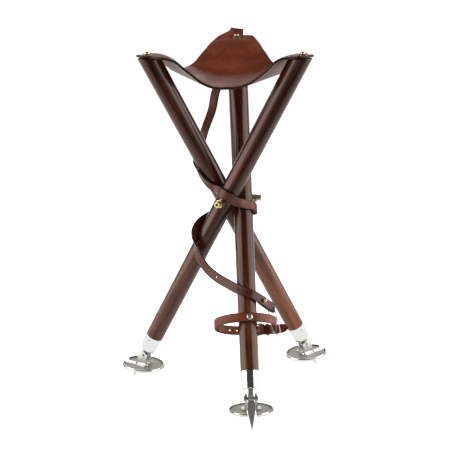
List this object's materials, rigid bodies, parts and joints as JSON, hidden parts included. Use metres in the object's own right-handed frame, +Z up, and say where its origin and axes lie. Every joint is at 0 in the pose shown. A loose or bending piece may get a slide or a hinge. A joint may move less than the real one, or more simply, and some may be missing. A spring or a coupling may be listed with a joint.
{
  "type": "folding tripod stool",
  "caption": "Folding stool: crossed wooden legs on a central three-way bolt, slung leather seat, carrying strap, closing belt, and spiked feet with swivelling ground plates.",
  "frame": {"origin": "on the ground, midway between the three feet, under the centre of the three-way bolt", "axes": "+Z up; -Y towards the front foot; +X to the right as seen from the front"},
  "size_m": [0.3742, 0.3758, 0.6114],
  "materials": {
    "wood": "dark reddish-brown stained hardwood, glossy",
    "seat_leather": "brown saddle leather, satin",
    "strap_leather": "mid reddish-brown bridle leather, satin",
    "brass": "polished",
    "bolt_steel": "plain",
    "pin_steel": "filed flush",
    "ferrule_metal": "polished",
    "spike_steel": "dark ground steel",
    "plate_metal": "satin face with a polished rim",
    "ear_metal": "polished",
    "pivot_metal": "polished",
    "nickel": "nickel plate"
  },
  "bodies": {
    "hub": {"hub_bolt": "bolt_steel", "seat": "seat_leather", "hub_washer_front": "brass", "hub_nut_front": "brass", "hub_washer_rear_right": "brass", "hub_nut_rear_right": "brass", "hub_washer_rear_left": "brass", "hub_nut_rear_left": "brass"},
    "front_leg": {"leg_front": "wood", "ferrule_front": "ferrule_metal", "ferrule_pin_front": "pin_steel", "spike_front": "spike_steel", "seat_screw_front": "brass", "cup_washer_front": "brass", "carry_strap": "strap_leather", "strap_screw": "brass", "strap_stud": "brass", "strap_ring": "nickel", "closing_belt": "strap_leather", "belt_screw": "nickel", "buckle_frame": "nickel", "belt_keeper": "strap_leather"},
    "front_foot": {"foot_plate_front": "plate_metal", "foot_ear_head_front": "ear_metal", "foot_ear_nut_front": "ear_metal", "pivot_pin_front": "pivot_metal", "pivot_nut_front": "pivot_metal"},
    "rear_right_leg": {"leg_rear_right": "wood", "ferrule_rear_right": "ferrule_metal", "ferrule_pin_rear_right": "pin_steel", "spike_rear_right": "spike_steel", "seat_screw_rear_right": "brass", "cup_washer_rear_right": "brass"},
    "rear_right_foot": {"foot_plate_rear_right": "plate_metal", "foot_ear_head_rear_right": "ear_metal", "foot_ear_nut_rear_right": "ear_metal", "pivot_pin_rear_right": "pivot_metal", "pivot_nut_rear_right": "pivot_metal"},
    "rear_left_leg": {"leg_rear_left": "wood", "ferrule_rear_left": "ferrule_metal", "ferrule_pin_rear_left": "pin_steel", "spike_rear_left": "spike_steel", "seat_screw_rear_left": "brass", "cup_washer_rear_left": "brass"},
    "rear_left_foot": {"foot_plate_rear_left": "plate_metal", "foot_ear_head_rear_left": "ear_metal", "foot_ear_nut_rear_left": "ear_metal", "pivot_pin_rear_left": "pivot_metal", "pivot_nut_rear_left": "pivot_metal"},
    "buckle_tongue": {"buckle_tongue": "nickel"}
  },
  "joints": [
    {"name": "front_leg_fold", "type": "hinge", "parent": "hub", "child": "front_leg", "pos_m": [0.0204, 0, 0.34721], "axis": [1, 0, 0], "range_deg": [0, 20], "deforming": ["seat", "carry_strap", "closing_belt"]},
    {"name": "rear_right_leg_fold", "type": "hinge", "parent": "hub", "child": "rear_right_leg", "pos_m": [-0.0102, 0.01767, 0.34721], "axis": [-0.5, 0.866, 0], "range_deg": [0, 20], "deforming": ["seat", "carry_strap", "closing_belt"]},
    {"name": "rear_left_leg_fold", "type": "hinge", "parent": "hub", "child": "rear_left_leg", "pos_m": [-0.0102, -0.01767, 0.34721], "axis": [-0.5, -0.866, 0], "range_deg": [0, 20], "deforming": ["seat", "carry_strap", "closing_belt"]},
    {"name": "front_foot_swivel", "type": "hinge", "parent": "front_leg", "child": "front_foot", "pos_m": [0.0204, -0.16952, 0.04513], "axis": [1, 0, 0], "range_deg": [-20, 60]},
    {"name": "rear_right_foot_swivel", "type": "hinge", "parent": "rear_right_leg", "child": "rear_right_foot", "pos_m": [0.13661, 0.10243, 0.04513], "axis": [-0.5, 0.866, 0], "range_deg": [-20, 60]},
    {"name": "rear_left_foot_swivel", "type": "hinge", "parent": "rear_left_leg", "child": "rear_left_foot", "pos_m": [-0.15701, 0.06709, 0.04513], "axis": [-0.5, -0.866, 0], "range_deg": [-20, 60]},
    {"name": "buckle_tongue_swing", "type": "hinge", "parent": "front_leg", "child": "buckle_tongue", "pos_m": [0.0454, -0.06937, 0.13241], "axis": [0, -0.606, -0.7955], "range_deg": [0, 75], "deforming": ["closing_belt"]}
  ],
  "couplings": [
    {"joint": "rear_right_leg_fold", "follows": "front_leg_fold", "ratio": 1},
    {"joint": "rear_left_leg_fold", "follows": "front_leg_fold", "ratio": 1}
  ]
}
